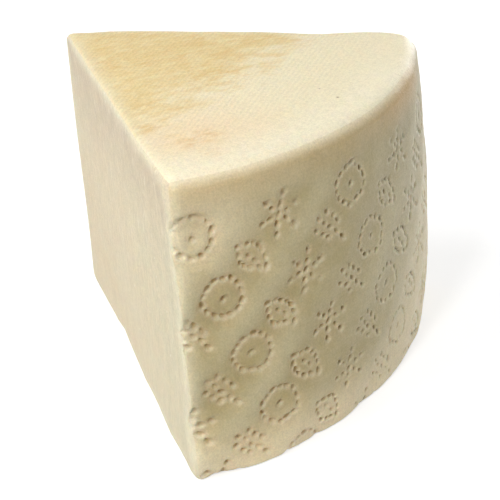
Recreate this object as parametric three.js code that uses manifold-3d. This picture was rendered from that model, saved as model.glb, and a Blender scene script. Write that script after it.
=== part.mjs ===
// A chunk of hard sheep's-milk cheese: a wedge from the upper half of a drum-shaped wheel.
// The wheel is turned, its rind is pricked with slanting rows of dotted ornament, and two knife
// cuts take the wedge out. Millimetres, +Z up. The origin lies under the middle of the chunk, on
// the surface that it stands on. The rind faces -Y and the tip points to +Y.

import * as THREE from "three";
import { mergeVertices } from "three/addons/utils/BufferGeometryUtils.js";
import Module from "manifold-3d";

// Wheel
const WHEEL_RADIUS = 136; // of the side, without flare and belly
const HEIGHT = 125; // from the level cut underneath to the middle of the top face
const DOME = 3.6; // how much lower the top face lies at the rim than at the axis
const FLARE = 6; // how much wider the side is at the foot than at the top
const BELLY = 3.3; // swell of the side at half height
const RIM_RADIUS = 6.5; // round between the top face and the rind
const FOOT_RADIUS = 2; // worn edge between the rind and the level cut
const WHEEL_STEP = 4; // degrees between the facets of the side
const SIDE_STEPS = 9; // facets up the side, between the two rounds
const ROUND_STEPS = 4; // facets round the rim and the foot
const DOME_STEPS = 6; // facets from the rim to the axis

// Knife cuts
const SPREAD = 75; // degrees of the wheel's side that the chunk keeps
const TIP_BEHIND_AXIS = 20.7; // where the two cuts meet, past the wheel's axis
const TIP_SIDE = 3.5; // and to the +X side of it
const CUT_OVERRUN = 1.3; // the knife runs past the rind by this share of the cut
const BOW_SEEN = 1.3; // outward bow of the cut on the -X side
const BOW_BACK = -0.9; // the cut on the +X side is a little hollow
const BOW_STEPS = 12; // facets along a cut

// Dotted ornament on the rind
const DOT_RADIUS = 1.25;
const DOT_DEPTH = 1;
const DOT_SIDES = 4;
const MOTIF_RADIUS = 7.5; // a motif reaches this far from its middle
const MOTIF_PITCH = 17.9; // from motif to motif along a row
const ROW_SLOPE = 45; // degrees; a row climbs towards +X
const ROW_PITCH = 34.5; // from row to row, measured round the rind
const ROW_TOP = 99.5; // height of each row's uppermost motif
const FIRST_ROW = -83; // where the first row's uppermost motif sits, measured round the rind

// Sizes inside a motif, as shares of MOTIF_RADIUS
const ROSETTE_DOTS = 14;
const STAR_RAYS = 6;
const STAR_INNER = 0.5; // how far out each ray's inner dot lies
const SPRIG_STEP = 0.5; // from dot to dot up the stem
const SPRIG_REACH = 0.52; // how far out a leaf's dot lies
const SPRIG_LIFT = 0.22; // how far above its place on the stem a leaf's dot lies
const LEAF_STEPS = 6; // from point to point of the leaf
const LEAF_REACH = 0.62; // half the leaf's width
const LEAF_RIB = [-0.35, 0.2]; // heights of the dots on its midrib

const rad = THREE.MathUtils.degToRad;
const wasm = await Module();
wasm.setup();

// Radius of the wheel's side at a height: a straight flare plus a parabola for the belly.
function sideRadius(z) {
  const share = z / HEIGHT;
  return WHEEL_RADIUS + FLARE * (0.5 - share) + BELLY * (1 - (2 * share - 1) ** 2);
}

// A closed geometry as a solid, its shared corners merged and collapsed triangles dropped.
function toSolid(geometry) {
  const bare = geometry.clone().deleteAttribute("normal").deleteAttribute("uv");
  const merged = mergeVertices(bare, 1e-3);
  const corners = merged.index.array;
  const kept = [];
  for (let i = 0; i < corners.length; i += 3) {
    const [a, b, c] = corners.subarray(i, i + 3);
    if (a !== b && b !== c && c !== a) kept.push(a, b, c);
  }
  const vertProperties = new Float32Array(merged.attributes.position.array);
  return new wasm.Manifold(new wasm.Mesh({ numProp: 3, vertProperties, triVerts: new Uint32Array(kept) }));
}

function toGeometry(solid) {
  const mesh = solid.getMesh();
  const geometry = new THREE.BufferGeometry();
  geometry.setAttribute("position", new THREE.BufferAttribute(mesh.vertProperties, 3));
  geometry.setIndex(new THREE.BufferAttribute(mesh.triVerts, 1));
  return geometry;
}

// The wheel's upper half, turned about +Z: level cut, foot round, side, rim round, domed top face.
function wheel() {
  const outline = [new THREE.Vector2(0, 0)];
  for (let i = 0; i <= ROUND_STEPS; i++) {
    const turn = (i / ROUND_STEPS) * rad(90);
    const z = FOOT_RADIUS * (1 - Math.cos(turn));
    outline.push(new THREE.Vector2(sideRadius(z) - FOOT_RADIUS * (1 - Math.sin(turn)), z));
  }
  const rimTop = HEIGHT - DOME;
  for (let i = 1; i < SIDE_STEPS; i++) {
    const z = THREE.MathUtils.lerp(FOOT_RADIUS, rimTop - RIM_RADIUS, i / SIDE_STEPS);
    outline.push(new THREE.Vector2(sideRadius(z), z));
  }
  for (let i = 0; i <= ROUND_STEPS; i++) {
    const turn = (i / ROUND_STEPS) * rad(90);
    const z = rimTop - RIM_RADIUS * (1 - Math.sin(turn));
    outline.push(new THREE.Vector2(sideRadius(z) - RIM_RADIUS * (1 - Math.cos(turn)), z));
  }
  const flatRadius = sideRadius(rimTop) - RIM_RADIUS;
  for (let i = DOME_STEPS - 1; i >= 0; i--) {
    const share = i / DOME_STEPS;
    outline.push(new THREE.Vector2(flatRadius * share, HEIGHT - DOME * share ** 2));
  }
  const turned = new THREE.LatheGeometry(outline, Math.round(360 / WHEEL_STEP));
  return toSolid(turned.rotateX(rad(90))); // a lathe turns about +Y
}

// The space between the two knife cuts, taller than the wheel.
function knifeCuts() {
  const tip = new THREE.Vector2(TIP_SIDE, TIP_BEHIND_AXIS);
  const cutEnd = (side) => {
    const turn = (side * rad(SPREAD)) / 2;
    const corner = new THREE.Vector2(WHEEL_RADIUS * Math.sin(turn), -WHEEL_RADIUS * Math.cos(turn));
    return tip.clone().lerp(corner, CUT_OVERRUN);
  };
  // Control point of a cut: the middle of its straight line, moved out by twice the bow.
  const bowed = (end, side, bow) => {
    const along = end.clone().sub(tip).normalize();
    const outward = new THREE.Vector2(-along.y, along.x).multiplyScalar(side);
    return tip.clone().lerp(end, 0.5).addScaledVector(outward, 2 * bow);
  };
  const seenEnd = cutEnd(-1);
  const backEnd = cutEnd(1);
  const seenBow = bowed(seenEnd, -1, BOW_SEEN);
  const backBow = bowed(backEnd, 1, BOW_BACK);
  const plan = new THREE.Shape();
  plan.moveTo(tip.x, tip.y);
  plan.quadraticCurveTo(seenBow.x, seenBow.y, seenEnd.x, seenEnd.y);
  plan.lineTo(seenEnd.x, -2 * WHEEL_RADIUS);
  plan.lineTo(backEnd.x, -2 * WHEEL_RADIUS);
  plan.lineTo(backEnd.x, backEnd.y);
  plan.quadraticCurveTo(backBow.x, backBow.y, tip.x, tip.y);
  const prism = new THREE.ExtrudeGeometry(plan, {
    depth: 2 * HEIGHT,
    bevelEnabled: false,
    curveSegments: BOW_STEPS,
  });
  return toSolid(prism.translate(0, 0, -HEIGHT / 2));
}

// A ring of dots. A motif is a list of dot places [along, up] about its middle, in shares of
// MOTIF_RADIUS, with the row running along.
function ring(count, radius) {
  const places = [];
  for (let i = 0; i < count; i++) {
    const turn = (i / count) * rad(360);
    places.push([radius * Math.sin(turn), radius * Math.cos(turn)]);
  }
  return places;
}

// A plain flower: a ring of dots round a middle one.
function rosette() {
  return [[0, 0], ...ring(ROSETTE_DOTS, 1)];
}

// A six-rayed star round a middle dot.
function star() {
  return [[0, 0], ...ring(STAR_RAYS, STAR_INNER), ...ring(STAR_RAYS, 1)];
}

// A sprig: an upright stem with pairs of leaves that lean upwards.
function sprig() {
  const places = [];
  for (let up = -1; up <= 1; up += SPRIG_STEP) {
    places.push([0, up]);
    if (Math.abs(up) < 1) places.push([-SPRIG_REACH, up + SPRIG_LIFT], [SPRIG_REACH, up + SPRIG_LIFT]);
  }
  return places;
}

// A leaf: two arcs from point to point, with a midrib between them.
function leaf() {
  const places = [];
  for (let i = 0; i <= LEAF_STEPS; i++) {
    const up = (2 * i) / LEAF_STEPS - 1;
    const out = LEAF_REACH * (1 - up ** 2);
    places.push([out, up]);
    if (out > 0) places.push([-out, up]);
  }
  for (const up of LEAF_RIB) places.push([0, up]);
  return places;
}

// One pricked dot: a narrow spindle through the rind at a place round and up the side.
function dot(around, z) {
  const turn = around / WHEEL_RADIUS;
  const spindle = new THREE.SphereGeometry(1, DOT_SIDES, 2);
  spindle.scale(DOT_RADIUS, DOT_DEPTH, DOT_RADIUS);
  spindle.rotateZ(rad(90)); // its points now lie along X
  spindle.translate(sideRadius(z), 0, z);
  return toSolid(spindle.rotateZ(turn - rad(90)));
}

// Every dot of the ornament that meets the chunk's side, in rows that climb across the rind.
function ornament() {
  const motifs = [rosette, sprig, star, leaf];
  const halfSide = (WHEEL_RADIUS * rad(SPREAD)) / 2;
  const reach = halfSide + MOTIF_RADIUS;
  const slope = rad(ROW_SLOPE);
  const [cos, sin] = [Math.cos(slope), Math.sin(slope)];
  const lastRow = reach + (ROW_TOP + MOTIF_RADIUS) / Math.tan(slope); // its lowest motif just shows
  const dots = [];
  for (let row = 0; FIRST_ROW + row * ROW_PITCH < lastRow; row++) {
    for (let place = 0; ROW_TOP - place * MOTIF_PITCH * sin > -MOTIF_RADIUS; place++) {
      const middleAround = FIRST_ROW + row * ROW_PITCH - place * MOTIF_PITCH * cos;
      const middleZ = ROW_TOP - place * MOTIF_PITCH * sin;
      if (Math.abs(middleAround) > reach) continue;
      for (const [along, up] of motifs[(place + 2 * row) % motifs.length]()) {
        const around = middleAround + MOTIF_RADIUS * (along * cos - up * sin);
        const z = middleZ + MOTIF_RADIUS * (along * sin + up * cos);
        const onSide = z > -DOT_RADIUS && z < HEIGHT - DOME - RIM_RADIUS - DOT_RADIUS;
        if (onSide && Math.abs(around) < halfSide + DOT_RADIUS) dots.push(dot(around, z));
      }
    }
  }
  return dots;
}

let chunk = wheel();
for (const pricked of ornament()) chunk = chunk.subtract(pricked);
chunk = chunk.intersect(knifeCuts());

const geometry = toGeometry(chunk);
geometry.computeBoundingBox();
const middle = geometry.boundingBox.getCenter(new THREE.Vector3());

const cheese = new THREE.MeshStandardMaterial({ color: 0xe6d7ae, roughness: 0.55, metalness: 0 });
const mesh = new THREE.Mesh(geometry, cheese);
mesh.name = "chunk";
mesh.position.set(-middle.x, -middle.y, 0);

const part = new THREE.Group();
part.add(mesh);

export default part;
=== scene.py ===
import math

import bpy
import numpy as np
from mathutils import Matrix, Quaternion, Vector


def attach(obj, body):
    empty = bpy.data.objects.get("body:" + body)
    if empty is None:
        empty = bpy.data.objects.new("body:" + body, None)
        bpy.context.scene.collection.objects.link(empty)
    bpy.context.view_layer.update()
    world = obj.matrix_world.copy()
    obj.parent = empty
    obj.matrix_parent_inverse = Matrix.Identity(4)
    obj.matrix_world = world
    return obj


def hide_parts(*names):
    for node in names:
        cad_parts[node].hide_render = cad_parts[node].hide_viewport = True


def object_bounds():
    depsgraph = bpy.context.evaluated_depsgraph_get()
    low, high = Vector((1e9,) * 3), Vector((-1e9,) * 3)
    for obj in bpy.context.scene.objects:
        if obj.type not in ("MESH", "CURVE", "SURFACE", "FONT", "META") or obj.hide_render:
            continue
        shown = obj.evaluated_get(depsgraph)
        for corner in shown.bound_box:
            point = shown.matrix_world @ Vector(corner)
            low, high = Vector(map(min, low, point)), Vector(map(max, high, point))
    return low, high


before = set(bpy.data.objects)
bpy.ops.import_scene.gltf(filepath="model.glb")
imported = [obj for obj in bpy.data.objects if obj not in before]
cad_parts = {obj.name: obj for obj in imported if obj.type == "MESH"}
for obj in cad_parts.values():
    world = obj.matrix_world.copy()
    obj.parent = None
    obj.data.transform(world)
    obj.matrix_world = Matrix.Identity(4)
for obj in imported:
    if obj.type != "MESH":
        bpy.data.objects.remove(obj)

# A chunk of hard sheep's-milk cheese. Metres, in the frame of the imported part:
# +Z up, the rind faces -Y, the tip points to +Y.

cadLow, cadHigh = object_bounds()
height = cadHigh.z
print("frame loaded, box in mm", [round(1000 * side, 1) for side in cadHigh - cadLow])

# The wedge's form
chunk = dict(
    wheelRadius=0.136,  # of the side, without flare and belly
    axisX=0.0006,  # the bows put the box's middle off the axis
    tipBehindAxis=0.0207,  # where the two cuts meet
    tipSide=0.0035,  # and how far to the +X side
    spread=75,  # degrees of the wheel
    flare=0.006,  # from foot to top
    belly=0.0033,  # at half height
    rimRound=0.0065,
    footRound=0.0016,
    edgeRound=0.0021,  # knife edges
    edgeVaries=0.35,  # by this share
    edgeWave=0.02,  # over this length
    # the paler line along the knife edges is a painted highlight
    edgeGlow=0.0044,  # reach of the paler line along them
    tipRound=0.0012,
    tipLean=(-0.0008, 0.001),  # where its foot stands
    # worn corners: end of a cut, height as a share, extra round, reach
    worn=(("tip", 1, 0.0016, 0.012), ("tip", 0, 0.0035, 0.035), ("seen", 0, 0.0016, 0.012),
          ("seen", 1, 0.0035, 0.018), ("back", 1, 0.0046, 0.0115)),
    cutOverrun=1.3,  # the knife ran on by this share
    bowSeen=0.0013,  # outward, on the -X side
    # hollows and flares of that cut's foot: way from the tip, rise, reach along and up
    footDents=((0.054, -0.002, 0.03, 0.035), (0.152, 0.0012, 0.028, 0.03)),
    bowBack=-0.0009,  # hollow, on the +X side
    cutWave=0.00018,  # height of slow waves
    cutWaveLength=0.02,
    cutWaveUp=0.25,  # slower upwards
    topDome=0.0036,  # fall from the axis to the rim
    topWave=0.0002,
    topWaveLength=0.07,
    topDip=0.0009,  # at the back edge
    topDipPlace=(0.0585, -0.0135),
    topDipReach=0.012,
    topBlend=0.8,  # share of the rim that has the top's look
    footSwell=0.0045,  # low on the left
    footSwellPlace=(-0.078, 0.0),
    footSwellReach=(0.05, 0.03),
    flatRight=0.0003,  # the rind lies lower at the right
    flatAround=(0.03, 0.075),
    flatUp=(0.085, 0.11),  # as far up as this
    acrossCells=118,  # mesh cells round the rind
    pressedCells=72,  # and up its pressed part
    cellSteps=4,  # each way, where a cell holds part of a dot
    cellBusy=0.06,  # blurred depth from which it does
    bareSteps=22,  # from there up to the top face
)

# Rows of dotted ornament pressed into the rind
ornament = dict(
    motifRadius=0.0075,
    motifPitch=0.0179,  # along a row
    rowSlope=45,  # degrees; a row climbs towards +X
    rowPitch=0.0345,  # measured round the rind
    rowTop=0.0995,  # height of each row's uppermost motif
    firstRow=-0.083,  # its place round the rind
    rowWander=0.06,  # share of the pitch
    rowWanderLength=0.05,
    bareFrom=(0.4, 1.8),  # motif radii above the uppermost motif
    fineTo=1.3,  # the mesh is fine as far up as this
    dotRadius=0.0006,  # half its width
    dotVaries=(0.85, 1.2),
    dotDrawn=(1.3, 1.9),  # longer than wide by this
    dotDepth=0.0018,
    dotStrength=(0.6, 1.0),  # a dot's share of that
    dotLeft=0.55,  # and every dot's at the left
    dotWall=1.8,  # the higher, the steeper
    dotWindow=0.004,  # half the square it is worked out in
    runOut=(-0.002, 0.006),  # heights where the dots run out
    scoopTurn=115,  # degrees; where a dot's wall is steep
    scoop=0.35,  # how much steeper
    scoopReach=0.7,  # in dot radii
    jitter=0.0003,  # of a dot's place
    turnJitter=0.25,  # radians
    leftToRight=(-0.085, 0.02),  # the pressing grows fainter
    farRight=(-0.03, 0.045),  # lips give way to crescents
    wideLeft=0.2,  # wider dots at the left
    wideRight=0.45,  # and at the right
    wideAround=(0.0, 0.06),
    lip=0.0008,  # height, opposite the steep wall
    lipReach=0.0006,
    rim=0.7,  # share that runs all round the dot
    lipRight=0.1,  # share that is left at the right
    crescentShift=0.0011,  # how far to the left of its dot it lies
    crescentReach=0.0004,
    crescentFill=3,  # the higher, the sooner it is full
    welt=0.0002,  # swelling along the dots at the right
    groove=0.0022,  # depth along the dots at the left
    grooveReach=0.0006,  # of its steep wall
    slackReach=0.0016,  # of its other wall
    slackShift=0.0016,  # which lies this far down the scoop
    grooveFill=0.3,  # the lower, the sooner it is full
    channel=0.0011,  # from ridge to row
    puff=0.0003,  # rise inside a motif
    puffVaries=(0.3, 1.0),
    puffReach=0.85,  # in motif radii
    puffWall=6,
    faintRight=0.6,  # share of channel and puff at the right
    # reach and height of the rind's unevenness
    grain=((0.011, 0.00012), (0.0035, 0.00006), (0.001, 0.00004)),
    cell=0.00025,  # grid of the height map
    margin=0.012,  # past the chunk
    seed=11,
)

wheelRadius, steps, cell = chunk["wheelRadius"], chunk["cellSteps"], ornament["cell"]
axis = np.array([chunk["axisX"], cadHigh.y - chunk["tipBehindAxis"]])
tip = np.array([axis[0] + chunk["tipSide"], cadHigh.y])
halfSpread = math.radians(chunk["spread"]) / 2
scoopAngle = math.radians(ornament["scoopTurn"])
scoopSide = np.array([math.cos(scoopAngle), math.sin(scoopAngle)])


def cutLine(side):
    # a cut's direction from the tip, its outward normal and the straight length to the rind
    corner = np.array([axis[0] + side * wheelRadius * math.sin(halfSpread),
                       axis[1] - wheelRadius * math.cos(halfSpread)])
    along = corner - tip
    length = np.linalg.norm(along)
    along = along / length
    normal = np.array([-along[1], along[0]]) * side
    return along, normal, length


seenAlong, seenNormal, seenLength = cutLine(-1)
backAlong, backNormal, backLength = cutLine(1)
cutEnds = {"tip": tip, "seen": tip + seenAlong * seenLength, "back": tip + backAlong * backLength}
cutLength = backLength  # bows and mesh steps of both cuts go by the back one


def ripple(x, y, wavelength, seed, waves=9):
    # sum of sine waves near one wavelength, each in its own seeded direction, about -1 to 1
    rng = np.random.default_rng(seed)
    total = 0.0
    for wave in range(waves):
        turn, phase = rng.uniform(0, math.tau, 2)
        scale = math.tau / (wavelength * rng.uniform(0.65, 1.5))
        total = total + np.sin(scale * (x * math.cos(turn) + y * math.sin(turn)) + phase)
    return total / math.sqrt(waves)


def sideRadius(z):
    # straight flare plus a parabola for the belly
    share = z / height
    belly = chunk["belly"] * (1 - (2 * share - 1) ** 2)
    return wheelRadius + chunk["flare"] * (0.5 - share) + belly


def smoothStep(low, high, value):
    # 0 below low, 1 above high, a cubic between
    share = np.clip((value - low) / (high - low), 0, 1)
    return share * share * (3 - 2 * share)


# Motifs: a row for each dot, (along, up, turn), in shares of the radius; a dot is longer along its turn
def ring(count, radius, inward=False):
    # dots at equal turns round a circle, drawn out along the circle or towards its middle
    turn = np.arange(count) / count * math.tau
    drawn = math.pi / 2 - turn if inward else -turn
    return np.stack([radius * np.sin(turn), radius * np.cos(turn), drawn], 1)


def rosette(dots=14):
    # a ring of dots round a middle one
    return np.concatenate([[[0, 0, 0]], ring(dots, 1.0)])


def star(rays=6, inner=0.5):
    # rays of two dots round a middle one
    return np.concatenate([[[0, 0, 0]], ring(rays, inner, True), ring(rays, 1.0, True)])


def sprig(dots=5, pairs=(-0.5, 0, 0.5), reach=0.52, lift=0.22, lean=0.6):
    # an upright stem with pairs of leaves that lean upwards
    upright = math.pi / 2
    stem = [[0, up, upright] for up in np.linspace(-1, 1, dots)]
    leaves = [[side * reach, up + lift, upright - side * lean] for up in pairs for side in (-1, 1)]
    return np.array(stem + leaves)


def leaf(dots=7, reach=0.62, rib=(-0.35, 0.2)):
    # two parabolas from point to point, and dots on the midrib
    up = np.linspace(-1, 1, dots)
    out = reach * (1 - up ** 2)
    lean = np.arctan2(1, -2 * reach * up)
    right = np.stack([out, up, lean], 1)
    left = np.stack([-out, up, math.pi - lean], 1)[1:-1]
    return np.concatenate([right, left, [[0, place, math.pi / 2] for place in rib]])


def pressedDots():
    # motif after motif down each slanting row: around, up and turn of each dot, and the middles
    slope = math.radians(ornament["rowSlope"])
    cos, sin = math.cos(slope), math.sin(slope)
    size, pitch, rowTop = ornament["motifRadius"], ornament["motifPitch"], ornament["rowTop"]
    reach = wheelRadius * halfSpread + 2 * size
    lastRow = reach + (rowTop + size) / math.tan(slope)
    rows = math.ceil((lastRow - ornament["firstRow"]) / ornament["rowPitch"])
    places = math.ceil((rowTop + size) / (pitch * sin))
    motifs = [rosette(), sprig(), star(), leaf()]
    dots, middles = [], []
    for row in range(rows):
        for place in range(places):
            middleAround = ornament["firstRow"] + row * ornament["rowPitch"] - place * pitch * cos
            middleUp = rowTop - place * pitch * sin
            if abs(middleAround) < reach:
                along, up, turn = motifs[(place + 2 * row) % len(motifs)].T
                middles.append((middleAround, middleUp))
                dots.append(np.stack([middleAround + size * (along * cos - up * sin),
                                      middleUp + size * (along * sin + up * cos), turn + slope], 1))
    return np.concatenate(dots), middles


def blurred(field, reach):
    # the field averaged with a bell curve, by multiplying its spectrum
    cells = reach / cell
    rowFrequency = np.fft.fftfreq(field.shape[0])[:, None]
    columnFrequency = np.fft.rfftfreq(field.shape[1])[None, :]
    bell = np.exp(-2 * (math.pi * cells) ** 2 * (rowFrequency ** 2 + columnFrequency ** 2))
    return np.fft.irfft2(np.fft.rfft2(field) * bell, field.shape)


def moved(field, away):
    # the field moved by a distance round and up the rind, to the nearest cell
    return np.roll(field, np.rint(np.array(away) / cell).astype(int), (0, 1))


def grain(shape, reach, seed):
    # seeded noise averaged over the reach and scaled back to a spread of 1
    field = blurred(np.random.default_rng(seed).standard_normal(shape), reach)
    return field / field.std()


mapReach = wheelRadius * halfSpread + ornament["margin"]
mapAround = np.arange(-mapReach, mapReach, cell)
mapUp = np.arange(-ornament["margin"], height + ornament["margin"], cell)


def pressMotifs(around, up):
    # a hollow for each dot, a bell that is longer one way and steeper on the scooped side,
    # and a flat-topped bell in the middle of each motif
    look = ornament
    rng = np.random.default_rng(look["seed"])
    pits, puffs = np.zeros_like(around), np.zeros_like(around)
    dots, middles = pressedDots()
    for middleAround, middleUp in middles:
        away = np.hypot(around - middleAround, up - middleUp) / look["motifRadius"]
        rise = rng.uniform(*look["puffVaries"])
        puffs += rise * np.exp(-(away / look["puffReach"]) ** look["puffWall"])
    window = round(look["dotWindow"] / cell)
    for dotAround, dotUp, turn in dots:
        dotAround, dotUp = rng.normal((dotAround, dotUp), look["jitter"])
        turn = rng.normal(turn, look["turnJitter"])
        wide = 1 + look["wideLeft"] * (1 - smoothStep(*look["leftToRight"], dotAround))
        wide = wide + look["wideRight"] * smoothStep(*look["wideAround"], dotAround)
        radius = wide * look["dotRadius"] * rng.uniform(*look["dotVaries"])
        drawn = rng.uniform(*look["dotDrawn"])
        strength = rng.uniform(*look["dotStrength"])
        i, j = np.searchsorted(mapAround, dotAround), np.searchsorted(mapUp, dotUp)
        if i == 0 or j == 0 or i == len(mapAround) or j == len(mapUp):
            continue
        near = (slice(max(i - window, 0), i + window), slice(max(j - window, 0), j + window))
        x, y = around[near] - dotAround, up[near] - dotUp
        scooped = np.tanh((x * scoopSide[0] + y * scoopSide[1]) / (look["scoopReach"] * radius))
        steepness = 1 + look["scoop"] * scooped
        x, y = x * steepness, y * steepness
        lengthways = (x * math.cos(turn) + y * math.sin(turn)) / (radius * drawn)
        crossways = (y * math.cos(turn) - x * math.sin(turn)) / radius
        hollow = strength * np.exp(-(lengthways ** 2 + crossways ** 2) ** look["dotWall"])
        pits[near] = np.maximum(pits[near], hollow)
    return pits, puffs


def rowRidges(around, up):
    # 0 along the rows and 1 between them, a cosine across the slope, and 1 on the bare rind above
    climb = math.tan(math.radians(ornament["rowSlope"]))
    phase = ((around - ornament["firstRow"]) - (up - ornament["rowTop"]) / climb) / ornament["rowPitch"]
    phase = phase + ornament["rowWander"] * ripple(around, up, ornament["rowWanderLength"], seed=3)
    ridge = 0.5 - 0.5 * np.cos(math.tau * phase)
    above = (up - ornament["rowTop"]) / ornament["motifRadius"]
    return ridge + (1 - ridge) * smoothStep(*ornament["bareFrom"], above)


def rindMaps():
    # height over the unrolled rind: dots with lips, which turn to crescents at the right; grooves
    # along the dots at the left and welts at the right; rows lower than the ridges between them;
    # a bulge at the foot; slow waves. With it go the masks that the mesh and the materials read.
    look = ornament
    around, up = np.meshgrid(mapAround, mapUp, indexing="ij")
    rightwards = smoothStep(*look["leftToRight"], around)
    farRight = smoothStep(*look["farRight"], around)
    pits, puffs = pressMotifs(around, up)
    slack = moved(blurred(pits, look["slackReach"]), -scoopSide * look["slackShift"])
    groove = 1 - np.exp(-(blurred(pits, look["grooveReach"]) + slack) / look["grooveFill"])
    rims = blurred(pits, look["lipReach"])
    lips = (moved(rims, -scoopSide * look["lipReach"]) + look["rim"] * rims) * (1 - pits)
    lips /= lips.max()
    crescent = moved(blurred(pits, look["crescentReach"]), (-look["crescentShift"], 0))
    crescent *= (1 - pits) ** 2
    crescent = np.minimum(look["crescentFill"] * crescent / crescent.max(), 1)
    lips = lips + (crescent - lips) * farRight
    ridge = rowRidges(around, up)
    faint = 1 - (1 - look["faintRight"]) * rightwards
    lift = (look["puff"] * puffs + look["channel"] * (ridge - 0.5)) * faint
    lift += groove * (look["welt"] * farRight - look["groove"] * (1 - rightwards))
    dotDepth = look["dotDepth"] * (look["dotLeft"] + (1 - look["dotLeft"]) * rightwards)
    lip = look["lip"] * (1 + (look["lipRight"] - 1) * farRight)
    lift += (lip * lips - dotDepth * pits) * smoothStep(*look["runOut"], up)
    (swellAround, swellUp), (reachAround, reachUp) = chunk["footSwellPlace"], chunk["footSwellReach"]
    swell = np.hypot((around - swellAround) / reachAround, (up - swellUp) / reachUp)
    lift += chunk["footSwell"] * np.exp(-swell ** 2)
    flat = smoothStep(*chunk["flatAround"], around) * (1 - smoothStep(*chunk["flatUp"], up))
    lift -= chunk["flatRight"] * flat
    for seed, (reach, rise) in enumerate(look["grain"], look["seed"] + 1):
        lift += rise * grain(lift.shape, reach, seed)
    return {"lift": lift, "pit": pits, "groove": groove, "ridge": ridge, "lip": lips, "busy": rims}


def readMap(field, around, up):
    # bilinear reading of a map over the unrolled rind
    i = np.clip((around - mapAround[0]) / cell, 0, len(mapAround) - 1.001)
    j = np.clip((up - mapUp[0]) / cell, 0, len(mapUp) - 1.001)
    i0, j0 = i.astype(int), j.astype(int)
    di, dj = i - i0, j - j0
    low = field[i0, j0] * (1 - dj) + field[i0, j0 + 1] * dj
    high = field[i0 + 1, j0] * (1 - dj) + field[i0 + 1, j0 + 1] * dj
    return low * (1 - di) + high * di


rindMap = rindMaps()
print("rind pressed,", rindMap["lift"].size, "cells")


def aroundRind(x, y):
    # length round the wheel from the middle of the rind
    return wheelRadius * np.arctan2(x - axis[0], axis[1] - y)


def bowAt(distance, bow):
    # the knife's bow: a parabola over the whole overrun cut
    share = distance / (chunk["cutOverrun"] * cutLength)
    return 4 * bow * share * (1 - share)


def footDent(distance, z):
    # a bell curve for each hollow or flare along the seen cut's foot
    return sum(rise * np.exp(-((distance - along) / reach) ** 2 - (z / reachUp) ** 2)
               for along, rise, reach, reachUp in chunk["footDents"])


def topHeight(x, y):
    # a shallow parabola about the axis, with slow waves and one dip
    fromAxis = np.hypot(x - axis[0], y - axis[1]) / wheelRadius
    fromDip = np.hypot(x - chunk["topDipPlace"][0], y - chunk["topDipPlace"][1]) / chunk["topDipReach"]
    waves = chunk["topWave"] * ripple(x, y, chunk["topWaveLength"], seed=21)
    return height - chunk["topDome"] * fromAxis ** 2 + waves - chunk["topDip"] * np.exp(-fromDip ** 2)


def alongWay(x, y, way):
    # distance from the tip, measured along a level direction
    return (x - tip[0]) * way[0] + (y - tip[1]) * way[1]


def faceDistances(points):
    # signed distance of each point from the top, rind, underside and the two cuts, outside positive
    x, y, z = points.T
    top = z - topHeight(x, y)
    lift = readMap(rindMap["lift"], aroundRind(x, y), z)
    side = np.hypot(x - axis[0], y - axis[1]) - sideRadius(z) - lift
    cuts = []
    for along, normal, bow, seed in ((seenAlong, seenNormal, chunk["bowSeen"], 31),
                                     (backAlong, backNormal, chunk["bowBack"], 41)):
        distance = alongWay(x, y, along)
        waves = chunk["cutWave"] * ripple(distance, chunk["cutWaveUp"] * z, chunk["cutWaveLength"], seed)
        cuts.append(alongWay(x, y, normal) - bowAt(distance, bow) - waves)
    return top, side, -z, cuts[0] - footDent(alongWay(x, y, seenAlong), z), cuts[1]


def roundMax(a, b, radius):
    # the larger of two distances, with an arc of the radius where the two faces meet
    inner = np.minimum(np.maximum(a, b), -radius)
    return inner + np.hypot(np.maximum(a + radius, 0), np.maximum(b + radius, 0))


def chunkDistance(points):
    # the rounded wedge: drum of top, rind and underside, cut by two rounded knife faces
    top, side, under, seen, back = faceDistances(points)
    drum = roundMax(roundMax(top, side, chunk["rimRound"]), under, chunk["footRound"])
    wedge = roundMax(seen, back, chunk["tipRound"])
    x, y, z = points.T
    edge = chunk["edgeRound"] * (1 + chunk["edgeVaries"] * ripple(x + y, z, chunk["edgeWave"], seed=51))
    for end, level, wear, reach in chunk["worn"]:
        endX, endY = cutEnds[end]
        away = (x - endX) ** 2 + (y - endY) ** 2 + (z - level * height) ** 2
        edge = edge + wear * np.exp(-away / reach ** 2)
    return roundMax(drum, wedge, edge)


def rindTurn(u, z):
    # turn about the axis of a place on the rind: even steps between the two cuts
    offset = tip - axis
    turns = []
    for along in (seenAlong, backAlong):
        inwards = -offset @ along
        reach = inwards + np.sqrt(inwards ** 2 - offset @ offset + sideRadius(z) ** 2)
        turns.append(np.arctan2(offset[0] + reach * along[0], -(offset[1] + reach * along[1])))
    return turns[0] + (turns[1] - turns[0]) * u


def sharpWedge(u, r, z):
    # the wedge with sharp edges: u from cut to cut, r from the tip out to the rind, z up
    turn = rindTurn(u, z)
    radius = sideRadius(z) + readMap(rindMap["lift"], wheelRadius * turn, z)
    rindX = axis[0] + radius * np.sin(turn)
    rindY = axis[1] - radius * np.cos(turn)
    sideways = (np.outer((1 - u) * bowAt(r * cutLength, chunk["bowSeen"]), seenNormal)
                + np.outer(u * bowAt(r * cutLength, chunk["bowBack"]), backNormal))
    x = tip[0] + (rindX - tip[0]) * r + sideways[:, 0]
    y = tip[1] + (rindY - tip[1]) * r + sideways[:, 1]
    return np.stack([x, y, z * topHeight(x, y) / height], 1)


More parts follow.
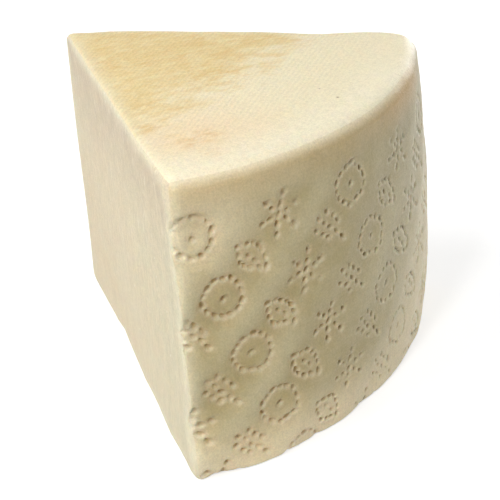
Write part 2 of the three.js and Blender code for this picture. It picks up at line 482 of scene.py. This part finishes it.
def settle(points):
    # moves each point of the sharp wedge along the line to a point well inside, on to the rounded
    # form, which is found by halving the stretch from inside to a little beyond the sharp wedge
    inset, beyond, halvings = 0.008, 0.004, 26
    x, y, z = points.T
    top, side, under, seen, back = faceDistances(points)
    outward = np.stack([x - axis[0], y - axis[1], np.zeros_like(z)], 1)
    outward /= np.linalg.norm(outward, axis=1, keepdims=True)
    inner = points.copy()
    for distance, normal in ((top, np.array([0, 0, 1.0])), (side, outward), (under, np.array([0, 0, -1.0])),
                             (seen, np.append(seenNormal, 0)), (back, np.append(backNormal, 0))):
        inner -= np.maximum(distance + inset, 0)[:, None] * normal
    ray = points - inner
    reach = np.linalg.norm(ray, axis=1, keepdims=True)
    ray /= reach
    low = np.zeros(len(points))
    high = reach[:, 0] + beyond
    for halving in range(halvings):
        middle = (low + high) / 2
        outside = chunkDistance(inner + ray * middle[:, None]) > 0
        high = np.where(outside, middle, high)
        low = np.where(outside, low, middle)
    return inner + ray * low[:, None]


def outSteps():
    # shares of the way from the tip to the rind, close together near both ends
    nearTip = [0, 0.0004, 0.0009, 0.0015, 0.0023, 0.0034, 0.005, 0.0075]
    nearRind = [0, 0.0003, 0.0007, 0.0012, 0.0018, 0.0026, 0.0036, 0.0048, 0.0062, 0.008, 0.0105, 0.014]
    ends = 0.02
    middle = np.linspace(ends, cutLength - ends, 13)
    return np.concatenate([nearTip, middle, cutLength - np.array(nearRind[::-1])]) / cutLength


def upSteps():
    # heights, close together where the rind is pressed and at the rim
    fineTop = ornament["rowTop"] + ornament["fineTo"] * ornament["motifRadius"]
    foot, footTop = [0, 0.0003, 0.0007, 0.0012], 0.0018
    pressed = np.linspace(footTop, fineTop, steps * chunk["pressedCells"] + 1)
    bare = np.linspace(fineTop, height, chunk["bareSteps"] + 1)[1:]
    return np.concatenate([foot, pressed, bare])


def acrossSteps():
    # even steps round the rind, with closer ones beside the two cuts
    crowding = 1.6
    across = np.linspace(0, 1, steps * chunk["acrossCells"] + 1)
    beside = across[steps] * np.linspace(0, 1, steps + 1)[1:-1] ** crowding
    across[1:steps], across[-steps:-1] = beside, 1 - beside[::-1]
    return across


def plainPicks(fineEnd, count):
    # the steps that the plain faces keep: all of them near both ends, one to a cell between
    return np.concatenate([np.arange(steps), np.arange(steps, fineEnd, steps), np.arange(fineEnd, count)])


def gridFaces(grid, flip):
    # the quads of an index grid; where a row is one point, two of a quad's corners are alike
    a, b, c, d = grid[:-1, :-1], grid[1:, :-1], grid[1:, 1:], grid[:-1, 1:]
    quads = np.stack([a, b, c, d], -1).reshape(-1, 4)
    return quads[:, ::-1] if flip else quads


def splitFaces(grid, split):
    # faces of an index grid in cells: a split cell keeps all its steps, any other is one quad, or a
    # fan about its middle where a cell beside it is split
    i = steps * np.arange(split.shape[0])[:, None, None]
    j = steps * np.arange(split.shape[1])[None, :, None]
    k = np.arange(steps + 1)
    middle = grid[i + steps // 2, j + steps // 2][..., 0]
    sides = grid[i + k, j], grid[i + steps, j + k], grid[i + steps - k, j + steps], grid[i, j + steps - k]
    around = np.pad(split, 1)
    beside = around[1:-1, :-2], around[2:, 1:-1], around[1:-1, 2:], around[:-2, 1:-1]
    fanned = ~split & np.any(beside, axis=0)
    plain = ~split & ~fanned
    fine = np.repeat(np.repeat(split, steps, 0), steps, 1).ravel()
    faces = [gridFaces(grid, False)[fine], np.stack([side[plain][:, 0] for side in sides], 1)]
    for side, close in zip(sides, beside):
        for wanted, lines in ((fanned & close, k), (fanned & ~close, k[::steps])):
            line, top = side[wanted], middle[wanted]
            for first, last in zip(lines[:-1], lines[1:]):
                faces.append(np.stack([line[:, first], line[:, last], top, top], 1))
    return np.concatenate(faces)


def stripFaces(picked, line, picks, flip):
    # the strip between a line of picked steps and one that keeps all its steps
    one = np.diff(picks) == 1
    a, b, first = picked[:-1], picked[1:], picks[:-1]
    faces = [np.stack([a, line[first], line[first + 1], b], 1)[one]]
    a, b, first = a[~one], b[~one], first[~one]
    half = steps // 2
    for k in range(half):
        faces.append(np.stack([a, line[first + k], line[first + k + 1], a], 1))
        faces.append(np.stack([b, line[first + half + k], line[first + half + k + 1], b], 1))
    faces.append(np.stack([a, line[first + half], b, b], 1))
    faces = np.concatenate(faces)
    return faces[:, ::-1] if flip else faces


def busyCells(u, z):
    # which cells hold part of a dot; the foot and the cells beside the cuts are split as well
    across, up = np.meshgrid(u[:-1], z[:-1], indexing="ij")
    around = wheelRadius * rindTurn(across.ravel(), up.ravel())
    busy = readMap(rindMap["busy"], around, up.ravel())
    busy = busy.reshape(len(u) // steps, steps, len(z) // steps, steps)
    split = busy.max((1, 3)) > chunk["cellBusy"]
    split[:, -1] = False
    split[:, 0] = split[0] = split[-1] = True
    return split


def chunkMesh():
    # the five faces of the wedge as index grids that share their edges, all settled together
    u, r, z = acrossSteps(), outSteps(), upSteps()
    pressed = steps * (chunk["pressedCells"] + 1)  # the step where the pressed part ends
    acrossPicks, upPicks = plainPicks(len(u) - steps, len(u)), plainPicks(pressed, len(z))
    pickedU, pickedZ = u[acrossPicks], z[upPicks]
    parts, count = [], 0

    def points(us, rs, zs):
        nonlocal count
        mesh = np.meshgrid(us, rs, zs, indexing="ij")
        parts.append(np.stack([values.ravel() for values in mesh], 1))
        first = count
        count += mesh[0].size
        return np.arange(first, count)

    rind = points(u, [1], z).reshape(len(u), len(z))
    tipEdge = points([0.5], [0], pickedZ).reshape(1, -1)
    seen = np.concatenate([tipEdge, points([0], r[1:-1], pickedZ).reshape(len(r) - 2, -1)])
    back = np.concatenate([tipEdge, points([1], r[1:-1], pickedZ).reshape(len(r) - 2, -1)])
    flats = []
    for level in (-1, 0):
        flat = np.zeros((len(acrossPicks), len(r)), int)
        flat[1:-1, 1:-1] = points(pickedU[1:-1], r[1:-1], [z[level]]).reshape(-1, len(r) - 2)
        flat[0, :-1], flat[-1, :-1] = seen[:, level], back[:, level]
        flat[:, 0] = tipEdge[0, level]
        flat[:, -1] = rind[acrossPicks, level]
        flats.append(flat)
    top, under = flats
    faces = [
        np.concatenate([splitFaces(rind[:, :pressed + 1], busyCells(u, z[:pressed + 1])),
                        gridFaces(rind[acrossPicks, pressed:], False)]),
        gridFaces(top, True),
        np.concatenate([gridFaces(seen, False), stripFaces(seen[-1], rind[0], upPicks, False)]),
        np.concatenate([gridFaces(back, True), stripFaces(back[-1], rind[-1], upPicks, True)]),
        np.concatenate([gridFaces(under[:, :-1], False),
                        stripFaces(under[:, -2], rind[:, 0], acrossPicks, True)]),
    ]
    used = np.unique(np.concatenate(faces))
    renumbered = np.zeros(count, int)
    renumbered[used] = np.arange(len(used))
    params = np.concatenate(parts)[used]
    place = settle(sharpWedge(*params.T))
    return place, params, [renumbered[quads] for quads in faces]


place, params, faces = chunkMesh()
print("chunk settled,", len(place), "points")


def leaned(points):
    # the tip's edge leans: moved most at its foot, and not at all at the top or out at the rind
    x, y, z = points.T
    fromTip = np.clip(np.hypot(x - tip[0], y - tip[1]) / cutLength, 0, 1)
    share = (1 - z / height) * (1 - fromTip)
    return points + share[:, None] * np.append(chunk["tipLean"], 0)


def wrapPlaces(kind, corners):
    # map places in metres: unrolled on the rind, from the side on a cut, from above elsewhere
    x, y, z = place[corners].T
    if kind == "rind":
        return np.stack([aroundRind(x, y), z], 1)
    if kind in ("seen", "back"):
        return np.stack([alongWay(x, y, seenAlong if kind == "seen" else backAlong), z], 1)
    return np.stack([x, y], 1)


def pointValues():
    # what the materials read: the rind's masks, a smooth step from side to top, and a bell curve
    # of the distance from the nearest knife edge
    x, y, z = place.T
    around = aroundRind(x, y)
    onRind = params[:, 1] == 1
    top, side, under, seen, back = faceDistances(place)
    toCut = np.minimum(abs(seen), abs(back))
    toDrum = np.minimum(np.minimum(abs(top), abs(side)), abs(under))
    toEdge = np.minimum(toCut + toDrum, abs(seen) + abs(back))
    values = {name: np.where(onRind, readMap(rindMap[name], around, z), elsewhere)
              for name, elsewhere in (("pit", 0), ("lip", 0), ("groove", 0), ("ridge", 1))}
    values["topFace"] = np.where(onRind, smoothStep(-chunk["topBlend"] * chunk["rimRound"], 0, top), 1)
    # mask of the painted highlight along the knife edges
    values["knifeEdge"] = np.exp(-(toEdge / chunk["edgeGlow"]) ** 2)
    return values


def addObject(name, data):
    made = bpy.data.objects.new(name, data)
    bpy.context.scene.collection.objects.link(made)
    return made


def buildChunk(materials):
    mesh = bpy.data.meshes.new("chunk")
    slots = {"rind": 0, "top": 0, "seen": 1, "back": 1, "under": 1}
    polygons, wraps, indices = [], [], []
    for (kind, slot), quads in zip(slots.items(), faces):
        alike = quads == np.roll(quads, -1, axis=1)  # a quad with two corners alike is a triangle
        pole = alike.any(1)
        triangles = quads[pole][~alike[pole]].reshape(-1, 3)
        quads = quads[~pole]
        polygons += quads.tolist() + triangles.tolist()
        corners = np.concatenate([quads.ravel(), triangles.ravel()])
        wraps.append(wrapPlaces(kind, corners))
        indices.append(np.full(len(quads) + len(triangles), slot))
    mesh.from_pydata(leaned(place).tolist(), [], polygons)
    mesh.uv_layers.new(name="wrap").data.foreach_set("uv", np.concatenate(wraps).astype(np.float32).ravel())
    for material in materials:
        mesh.materials.append(material)
    mesh.polygons.foreach_set("material_index", np.concatenate(indices).astype(np.int32))
    mesh.polygons.foreach_set("use_smooth", np.ones(len(polygons), bool))
    for name, value in pointValues().items():
        mesh.attributes.new(name, "FLOAT", "POINT").data.foreach_set("value", value.astype(np.float32))
    mesh.validate()
    mesh.update()
    return addObject("cheeseChunk", mesh)


# Shader helpers
def addNode(kind, feeds, **settings):
    # feeds: input name or number to a value or to another node's output, whose tree the node joins
    sockets = {name: value for name, value in feeds.items() if isinstance(value, bpy.types.NodeSocket)}
    tree = next(iter(sockets.values())).id_data
    node = tree.nodes.new(kind)
    for name, value in settings.items():
        setattr(node, name, value)
    for name, value in feeds.items():
        if name in sockets:
            tree.links.new(value, node.inputs[name])
        else:
            node.inputs[name].default_value = value
    return node


def mixColour(share, first, second, blend="MIX"):
    feeds = {0: share, 6: first, 7: second}
    return addNode("ShaderNodeMix", feeds, data_type="RGBA", blend_type=blend).outputs[2]


def layered(colour, layers):
    # each layer's tint mixed in where its mask is, one after the other
    for mask, (layer, share) in layers:
        colour = mixColour(times(mask, share), colour, layer)
    return colour


def mixValue(share, first, second):
    return addNode("ShaderNodeMix", {0: share, 2: first, 3: second}).outputs[0]


def shaded(share, colour, shade):
    # the colour times a grey
    grey = addNode("ShaderNodeCombineXYZ", {0: shade, 1: shade, 2: shade}).outputs[0]
    return mixColour(share, colour, grey, "MULTIPLY")


def calculate(operation, first, second, clamp=False):
    feeds = {0: first, 1: second}
    return addNode("ShaderNodeMath", feeds, operation=operation, use_clamp=clamp).outputs[0]


def times(product, *factors):
    for factor in factors:
        product = calculate("MULTIPLY", product, factor)
    return product


def weighted(first, second, shares, clamp=False):
    # the sum of two values, each times its share
    return calculate("ADD", times(first, shares[0]), times(second, shares[1]), clamp)


def remap(value, fromLow, fromHigh, toLow=0.0, toHigh=1.0):
    # a smooth step from one range to another
    feeds = {"Value": value, "From Min": fromLow, "From Max": fromHigh, "To Min": toLow, "To Max": toHigh}
    return addNode("ShaderNodeMapRange", feeds, interpolation_type="SMOOTHSTEP").outputs["Result"]


def between(share, low, high):
    # low where the share is 0, high where it is 1
    return remap(share, 0.0, 1.0, low, high)


def noise(vector, scale, detail, roughness, distortion=0.0):
    feeds = {"Vector": vector, "Scale": scale, "Detail": detail, "Roughness": roughness,
             "Distortion": distortion}
    return addNode("ShaderNodeTexNoise", feeds).outputs["Fac"]


def attribute(tree, name):
    node = tree.nodes.new("ShaderNodeAttribute")
    node.attribute_name = name
    return node.outputs["Fac"]


def axesOf(vector):
    return addNode("ShaderNodeSeparateXYZ", {"Vector": vector}).outputs


def distanceTo(vector, point):
    return addNode("ShaderNodeVectorMath", {0: vector, 1: point}, operation="DISTANCE").outputs["Value"]


def spot(vector, middle, reach):
    # 1 at a point, falling smoothly to 0 at the reach
    return remap(distanceTo(vector, middle), reach, 0.0)


def turned(vector, degrees, stretch=(1.0, 1.0, 1.0)):
    # the place seen from axes turned about Z, then drawn out along them
    feeds = {"Vector": vector, "Rotation": (0, 0, math.radians(degrees)), "Scale": stretch}
    return addNode("ShaderNodeMapping", feeds, vector_type="TEXTURE").outputs["Vector"]


def threadBands(vector, pitch, waver=1.5):
    # bands across X that waver a little; the node's own period is a twentieth of a full turn
    feeds = {"Vector": vector, "Scale": math.tau / 20 / pitch, "Distortion": waver,
             "Detail": 2.0, "Detail Scale": waver}
    return addNode("ShaderNodeTexWave", feeds, bands_direction="X").outputs["Fac"]


def bump(relief, depth, **below):
    # a normal from the relief, on top of the one below if that is given
    return addNode("ShaderNodeBump", {"Height": relief, "Distance": depth, **below}).outputs["Normal"]


def newMaterial(name):
    material = bpy.data.materials.new(name)
    material.use_nodes = True
    tree = material.node_tree
    return material, tree, tree.nodes["Principled BSDF"]


def linear(red, green, blue):
    # display colour, 0 to 255, to scene light
    share = np.array([red, green, blue]) / 255
    scene = np.where(share > 0.04045, ((share + 0.055) / 1.055) ** 2.4, share / 12.92)
    return (*scene.tolist(), 1.0)


def tint(red, green, blue, share=1):
    # a colour that is mixed in by no more than its share
    return linear(red, green, blue), share


def newGroup(name, outputs):
    # a shader group that takes a place and a scale, with named results
    tree = bpy.data.node_groups.new(name, "ShaderNodeTree")
    for socketName, kind in (("Place", "NodeSocketVector"), ("Scale", "NodeSocketFloat")):
        tree.interface.new_socket(socketName, in_out="INPUT", socket_type=kind)
    for socketName in outputs:
        tree.interface.new_socket(socketName, in_out="OUTPUT", socket_type="NodeSocketFloat")
    place, scale = list(tree.nodes.new("NodeGroupInput").outputs)[:2]
    return tree, place, scale, tree.nodes.new("NodeGroupOutput").inputs


def fineGrainGroup(finer=3.3, shares=(0.4, 0.6), flecks=(0.6, 0.76)):
    # curdy grain in two sizes; flecks are its highest spots
    tree, place, scale, result = newGroup("fineGrain", ["Height", "Fleck"])
    coarse = noise(place, scale, detail=4.0, roughness=0.65)
    fine = noise(place, times(scale, finer), detail=2.0, roughness=0.6)
    tree.links.new(weighted(coarse, fine, shares), result["Height"])
    tree.links.new(remap(fine, *flecks), result["Fleck"])
    return tree


def mottleGroup(finer=3.7, clouds=(0.32, 0.68), patches=(0.36, 0.64)):
    # soft clouds of two sizes, spread over the whole range from 0 to 1
    tree, place, scale, result = newGroup("mottle", ["Cloud", "Patch"])
    cloud = noise(place, scale, detail=4.0, roughness=0.6, distortion=0.4)
    patch = noise(place, times(scale, finer), detail=3.0, roughness=0.6)
    tree.links.new(remap(cloud, *clouds), result["Cloud"])
    tree.links.new(remap(patch, *patches), result["Patch"])
    return tree


fineGrain = fineGrainGroup()
mottle = mottleGroup()


def pattern(group, vector, scale):
    return addNode("ShaderNodeGroup", {"Place": vector, "Scale": scale}, node_tree=group).outputs


# Light through the cheese: how far each colour spreads under the surface
cheeseGlow = {"Subsurface Weight": 0.3, "Subsurface Radius": (0.0024, 0.0012, 0.0005),
              "Subsurface Scale": 1.0}


def setSockets(node, values):
    for name, value in values.items():
        node.inputs[name].default_value = value


def finishShader(tree, shader, colour, roughness, normal):
    # links what varies to the shader, and sets the glow
    for name, value in (("Base Color", colour), ("Roughness", roughness), ("Normal", normal)):
        tree.links.new(value, shader.inputs[name])
    setSockets(shader, cheeseGlow)


# The looks. Two numbers are the range over which something comes in, two more say from what to
# what. A tint's fourth number is its share.
topLook = dict(
    cream=linear(245, 232, 197),
    creamCool=tint(244, 232, 198),
    cloudScale=30.0,
    gold=linear(233, 208, 150),
    goldPale=linear(243, 227, 181),
    goldLine=(-0.01, 0.02),  # yellowed from here towards the tip
    ragged=(0.01, 0.014, 0.008),  # smears, clouds and patches push that line
    smearTurn=-25,  # degrees
    smearStretch=(2.4, 1.0, 1.0),
    smearScale=95.0,
    fleckScale=330.0,
    fleckShare=(0.25, 0.8),
    amber=tint(226, 187, 122, 0.5),
    # amber spots near the seen cut
    blushes=(((-0.0547, -0.0143, 0), 0.007), ((-0.0482, -0.0366, 0), 0.011),
             ((-0.0554, -0.0355, 0), 0.007), ((-0.0567, -0.0475, 0), 0.008)),
    blush=tint(226, 187, 122, 0.6),
    peach=tint(244, 219, 181, 0.7),
    peachSpot=((-0.052, -0.038, 0), 0.05),  # place and reach
    # painted highlight: a paler band on the top face along the rim
    rimHighlight=tint(248, 239, 211, 0.7),
    rimFrom=(0.108, 0.128),  # away from the wheel's axis
    rimFades=(0.03, 0.07, 1.0, 0.2),  # towards +X
    speck=tint(120, 84, 40),
    specks=(((0.006, -0.0581, 0), 0.0009, 0.8), ((0.0088, -0.048, 0), 0.0007, 0.5)),  # and share
)


def rindTopColour(place):
    # cream, yellowed towards the tip as far as a ragged line, peach near the front corner,
    # with a painted highlight along the rim, amber smears and a few dark specks
    look = topLook
    smeared = turned(place, look["smearTurn"], look["smearStretch"])
    smear, flecks = (pattern(mottle, smeared, look[scale]) for scale in ("smearScale", "fleckScale"))
    clouds = pattern(mottle, place, look["cloudScale"])
    flat = addNode("ShaderNodeVectorMath", {0: place, 1: (1, 1, 0)}, operation="MULTIPLY").outputs[0]
    x, line, z = axesOf(place)
    for cloud, push in zip((smear["Cloud"], clouds["Cloud"], smear["Patch"]), look["ragged"]):
        line = calculate("ADD", line, times(cloud, push))
    yellowed = remap(line, *look["goldLine"])
    fleck = times(flecks["Cloud"], between(clouds["Patch"], *look["fleckShare"]))
    # where the painted rim highlight lies
    rim = remap(distanceTo(flat, (*axis, 0)), *look["rimFrom"])
    return layered(look["cream"], [
        (clouds["Patch"], look["creamCool"]),
        (spot(flat, *look["peachSpot"]), look["peach"]),
        (yellowed, (mixColour(fleck, look["gold"], look["goldPale"]), 1)),
        (times(yellowed, smear["Patch"], clouds["Cloud"]), look["amber"]),
        *((times(spot(flat, *blush), smear["Patch"]), look["blush"]) for blush in look["blushes"]),
        (times(rim, remap(x, *look["rimFades"])), look["rimHighlight"]),
        *((times(spot(flat, *speck), share), look["speck"]) for *speck, share in look["specks"]),
    ])


sideLook = dict(
    plain=linear(191, 178, 139),
    # warm at the left is partly painted light, the glow of light through the edge by the seen cut, and
    # partly the rind's own warmer patches
    warm=tint(184, 166, 110),
    warmShares=(0.6, 0.3),  # at the left, and in patches
    cloudScale=26.0,
    left=(0.03, -0.085),
    # painted light: paler towards the lower right, where the side faces away from the key lamp
    right=(-0.02, 0.065),
    rightPaintedLight=tint(231, 219, 180),
    rightLow=(0.115, 0.04),  # downwards
    # painted highlight along the welts beside the dotted lines at the right
    welt=tint(230, 224, 204, 0.5),  # along the dotted lines at the right
    # painted sheen high up at the far right, standing in for reflections at grazing view
    farSheen=tint(230, 224, 204, 0.6),  # all over, high up at the far right
    farRight=(0.062, 0.08),
    farUp=(0.05, 0.1),
    # painted highlight on the ridges between the rows
    ridge=tint(212, 200, 160, 0.8),
    # painted light: a pale pool high on the left
    paintedLightPool=tint(242, 227, 190, 0.7),  # a pale patch high on the left
    paintedLightPoolSpot=((-0.073, -0.054, 0.104), 0.037),
    # painted shade: a brown band just below the rim, where the rim turns from the light, growing towards +X
    rim=tint(230, 190, 130),
    rimReach=0.016,  # below the top face
    rimEnd=0.3,  # share of the round that stays free
    rimGrows=(-0.005, 0.035, 0.3, 0.75),  # towards +X
    rimFades=(0.045, 0.068, 1.0, 0.1),
    # painted light: paler at the foot, standing in for light bounced up from the floor
    foot=tint(252, 235, 195),
    footReach=(0.029, 0.1),  # at the left and at the right
    # painted warm shade in the grooves along the dots at the left
    groove=tint(220, 184, 128, 0.45),  # at the left
    # painted highlight on the lips and crescents beside the dots
    lip=tint(255, 249, 222),
    lipShare=(0.5, 0.75),  # at the left and at the right
    # painted shade in the dots: dark brown, warmer at the left
    pit=linear(98, 76, 32),
    pitWarmShade=linear(205, 164, 92),  # at the left
    pitFrom=(0.2, 0.85),  # depth of the dot
    pitShare=(0.95, 0.285),  # at the right and at the left
    pitFades=(0.035, 0.075, 1.0, 0.75),  # towards +X
)


def rindSideColour(tree, place):
    # painted light and shade: paler to the right, at the foot and in a pool high on the left, with
    # highlights on ridges, welts and lips and brown shade below the rim, in the grooves and in the dots;
    # warmer to the left, partly as painted glow
    look = sideLook
    pit, groove, ridge, lip = (attribute(tree, name) for name in ("pit", "groove", "ridge", "lip"))
    clouds = pattern(mottle, place, look["cloudScale"])
    x, y, z = axesOf(place)
    left, right = remap(x, *look["left"]), remap(x, *look["right"])
    # where the painted shade below the rim lies
    rimTop = height - chunk["topDome"] - look["rimEnd"] * chunk["rimRound"]
    rim = remap(z, rimTop - look["rimReach"], rimTop)
    # how high the painted foot light reaches
    upFoot = calculate("DIVIDE", z, between(right, *look["footReach"]))
    # how strongly the painted shade fills each dot
    pitShade = times(between(left, *look["pitShare"]), remap(x, *look["pitFades"]))
    pitShade = times(remap(pit, *look["pitFrom"]), pitShade)
    return layered(look["plain"], [
        (weighted(left, clouds["Patch"], look["warmShares"], clamp=True), look["warm"]),
        (times(right, remap(z, *look["rightLow"])), look["rightPaintedLight"]),
        (times(remap(x, *look["farRight"]), remap(z, *look["farUp"])), look["farSheen"]),
        (times(groove, right), look["welt"]),
        (times(ridge, clouds["Cloud"]), look["ridge"]),
        (spot(place, *look["paintedLightPoolSpot"]), look["paintedLightPool"]),
        (times(rim, remap(x, *look["rimGrows"]), remap(x, *look["rimFades"])), look["rim"]),
        (remap(upFoot, 1.0, 0.0), look["foot"]),
        (times(groove, left), look["groove"]),
        (times(lip, between(right, *look["lipShare"])), look["lip"]),
        (pitShade, (mixColour(left, look["pit"], look["pitWarmShade"]), 1)),
    ])


rindLook = dict(
    # painted highlight along the knife edges
    edge=tint(240, 232, 200, 0.6),  # along the knife edges
    weavePitch=(0.0019, 0.00247),  # cheesecloth, warp and weft
    weaveTurn=-72,  # degrees
    weaveShares=(0.7, 0.3),
    weaveWorn=(0.09, 0.125, 0.0, 0.8),  # away from the middle of the top
    weaveFlat=0.5,  # what it is worn down to
    weaveDepth=0.00004,
    clothPitch=0.0016,  # the same cloth round the side
    clothShare=0.6,
    # painted shade of the cloth's pressed threads: the colour darkens and lightens with them
    threadPaintedShade=(0.965, 1.03),
    grainScale=480.0,
    grainDepth=0.0003,
    grainShade=(0.33, 0.67, 0.9, 1.07),
    satin=(0.3, 0.7, 0.52, 0.36),  # roughness, from low grain to high
    topDull=0.15,  # the top face is rougher by this
)


def rindMaterial():
    look = rindLook
    material, tree, shader = newMaterial("rind")
    coordinates = tree.nodes.new("ShaderNodeTexCoord").outputs
    place, wrap = coordinates["Object"], coordinates["UV"]
    top = attribute(tree, "topFace")
    grainHeight = pattern(fineGrain, place, look["grainScale"])["Height"]
    # cloth marks: two sets of threads on the top face, a check of threads round the side
    warp, weft = (threadBands(turned(place, look["weaveTurn"] + turn), pitch)
                  for turn, pitch in zip((0, 90), look["weavePitch"]))
    worn = remap(distanceTo(place, (*axis, height)), *look["weaveWorn"])
    weave = mixValue(worn, weighted(warp, weft, look["weaveShares"]), look["weaveFlat"])
    check = (threadBands(turned(wrap, turn), look["clothPitch"]) for turn in (0, 90))
    threads = mixValue(top, times(*check, look["clothShare"]), weave)
    colour = mixColour(top, rindSideColour(tree, place), rindTopColour(place))
    colour = layered(colour, [(attribute(tree, "knifeEdge"), look["edge"])])
    # grain tone times the painted shade of the cloth threads
    shade = times(remap(grainHeight, *look["grainShade"]), between(threads, *look["threadPaintedShade"]))
    satin = calculate("ADD", remap(grainHeight, *look["satin"]), times(top, look["topDull"]))
    normal = bump(grainHeight, look["grainDepth"], Normal=bump(threads, look["weaveDepth"]))
    finishShader(tree, shader, shaded(1.0, colour, shade), satin, normal)
    return material


pasteLook = dict(
    plain=linear(229, 216, 185),
    warm=tint(229, 210, 177, 0.6),
    cloudScale=24.0,
    cool=tint(219, 210, 179),
    coolFrom=(0.03, -0.05),  # towards the rind
    coolShare=(0.5, 1.0),  # from patch to patch
    rosy=tint(212, 195, 168),
    rosyReach=0.05,  # below the top edge
    rosyShare=(0.72, 1.0),
    # painted highlight along the knife edges
    edge=tint(238, 231, 201, 0.7),  # along the knife edges
    crystal=tint(252, 248, 234, 0.6),
    crystalScale=190.0,
    crystalSize=(0.13, 0.06),  # in cells of the pattern
    crystalPick=(0.8, 0.84),  # a cell above this holds one
    dragScale=240.0,  # the knife's drag marks
    dragStretch=(1.0, 1.0, 5.0),
    scratch=tint(252, 248, 234, 0.4),  # their pale flecks
    scratchesUp=(0.03, 0.11, 0.2, 1.0),  # stronger upwards
    markShares=(0.65, 0.35),  # grain and drag marks
    markShade=(0.36, 0.64, 0.865, 1.105),
    markCalm=(0.0, 0.06, 0.6, 1.0),  # fainter at the foot
    satin=(0.35, 0.65, 0.68, 0.56),  # roughness, from low marks to high
    shine=0.3,
    grainScale=700.0,
    grainDepth=0.0002,
)


def pasteMaterial():
    # knife-cut paste: fine upright drag marks, a rosier band under the top edge, pale crystals
    look = pasteLook
    material, tree, shader = newMaterial("paste")
    place = tree.nodes.new("ShaderNodeTexCoord").outputs["Object"]
    x, y, z = axesOf(place)
    clouds = pattern(mottle, place, look["cloudScale"])
    grainy = pattern(fineGrain, place, look["grainScale"])
    drag = pattern(fineGrain, turned(place, 0, look["dragStretch"]), look["dragScale"])
    cool, rosy = (between(clouds["Patch"], *look[share]) for share in ("coolShare", "rosyShare"))
    cells = addNode("ShaderNodeTexVoronoi", {"Vector": place, "Scale": look["crystalScale"]}).outputs
    picked = remap(axesOf(cells["Color"])["X"], *look["crystalPick"])
    colour = layered(look["plain"], [
        (clouds["Cloud"], look["warm"]),
        (times(remap(y, *look["coolFrom"]), cool), look["cool"]),
        (times(remap(z, height - look["rosyReach"], height), rosy), look["rosy"]),
        (attribute(tree, "knifeEdge"), look["edge"]),
        (times(remap(cells["Distance"], *look["crystalSize"]), picked), look["crystal"]),
        (times(drag["Fleck"], remap(z, *look["scratchesUp"])), look["scratch"]),
    ])
    marks = weighted(grainy["Height"], drag["Height"], look["markShares"])
    colour = shaded(remap(z, *look["markCalm"]), colour, remap(marks, *look["markShade"]))
    finishShader(tree, shader, colour, remap(marks, *look["satin"]), bump(marks, look["grainDepth"]))
    shader.inputs["Specular IOR Level"].default_value = look["shine"]
    return material


piece = buildChunk([rindMaterial(), pasteMaterial()])
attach(piece, "root")
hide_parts("chunk")
print("chunk built,", len(piece.data.polygons), "faces")


# A sheet that shows white to the camera and in reflections but throws back little light
floorSheet = dict(size=6.0, glow=0.59)
floorLook = {"Base Color": (0.62, 0.62, 0.62, 1), "Roughness": 0.9, "Emission Color": (1, 1, 1, 1)}


def buildFloor():
    half = floorSheet["size"] / 2
    corners = [(-half, -half, 0), (half, -half, 0), (half, half, 0), (-half, half, 0)]
    mesh = bpy.data.meshes.new("floor")
    mesh.from_pydata(corners, [], [(0, 1, 2, 3)])
    material, tree, shader = newMaterial("floorSheet")
    setSockets(shader, floorLook)
    path = tree.nodes.new("ShaderNodeLightPath").outputs
    seen = calculate("MAXIMUM", path["Is Camera Ray"], path["Is Glossy Ray"])
    tree.links.new(times(seen, floorSheet["glow"]), shader.inputs["Emission Strength"])
    mesh.materials.append(material)
    floor = addObject("floor", mesh)


# Soft lamps round the table; light is the share of full white on a face turned to the lamp
lamps = {
    "key": dict(azimuth=-120, elevation=52, distance=1.3, size=0.5, light=0.48),
    "front": dict(azimuth=-78, elevation=40, distance=1.3, size=0.22, light=0.33),
    "fill": dict(azimuth=20, elevation=15, distance=1.4, size=1.0, light=0.14),
    "right": dict(azimuth=100, elevation=4, distance=1.3, size=0.3, light=0.36),
}
sky = dict(horizon=0.18, zenith=0.48)


def buildLights():
    middle = Vector((0, 0, height / 2))
    for name, lamp in lamps.items():
        a, e = math.radians(lamp["azimuth"]), math.radians(lamp["elevation"])
        back = Vector((math.sin(a) * math.cos(e), -math.cos(a) * math.cos(e), math.sin(e)))
        data = bpy.data.lights.new(name, "AREA")
        data.shape = "DISK"
        data.size = lamp["size"]
        data.energy = lamp["light"] * math.pi ** 2 * lamp["distance"] ** 2
        light = addObject(name, data)
        light.location = middle + back * lamp["distance"]
        light.rotation_euler = (-back).to_track_quat("-Z", "Y").to_euler()
    world = bpy.data.worlds.new("studio")
    world.use_nodes = True
    tree = world.node_tree
    background = tree.nodes["Background"].inputs
    up = axesOf(tree.nodes.new("ShaderNodeTexCoord").outputs["Generated"])["Z"]
    tree.links.new(between(up, sky["horizon"], sky["zenith"]), background["Strength"])
    background["Color"].default_value = (1, 1, 1, 1)
    bpy.context.scene.world = world


# The photographer's place
camera = dict(
    eye=(-0.3732, -0.3082, 0.3133),
    aim=(-0.0036, -0.0196, 0.0497),
    roll=-3.36,  # degrees
    lens=93.57,  # on a sensor 36 wide
)


def buildCamera():
    data = bpy.data.cameras.new("camera")
    data.lens = camera["lens"]
    data.sensor_width = 36.0
    data.clip_start = 0.01
    shot = addObject("camera", data)
    eye, aim = Vector(camera["eye"]), Vector(camera["aim"])
    turn = (aim - eye).to_track_quat("-Z", "Y") @ Quaternion((0, 0, 1), math.radians(camera["roll"]))
    shot.rotation_mode = "QUATERNION"
    shot.location, shot.rotation_quaternion = eye, turn
    bpy.context.scene.camera = shot


buildFloor()
buildLights()
buildCamera()
bpy.context.scene.view_settings.view_transform = "Standard"
print("stage, lights and camera ready")
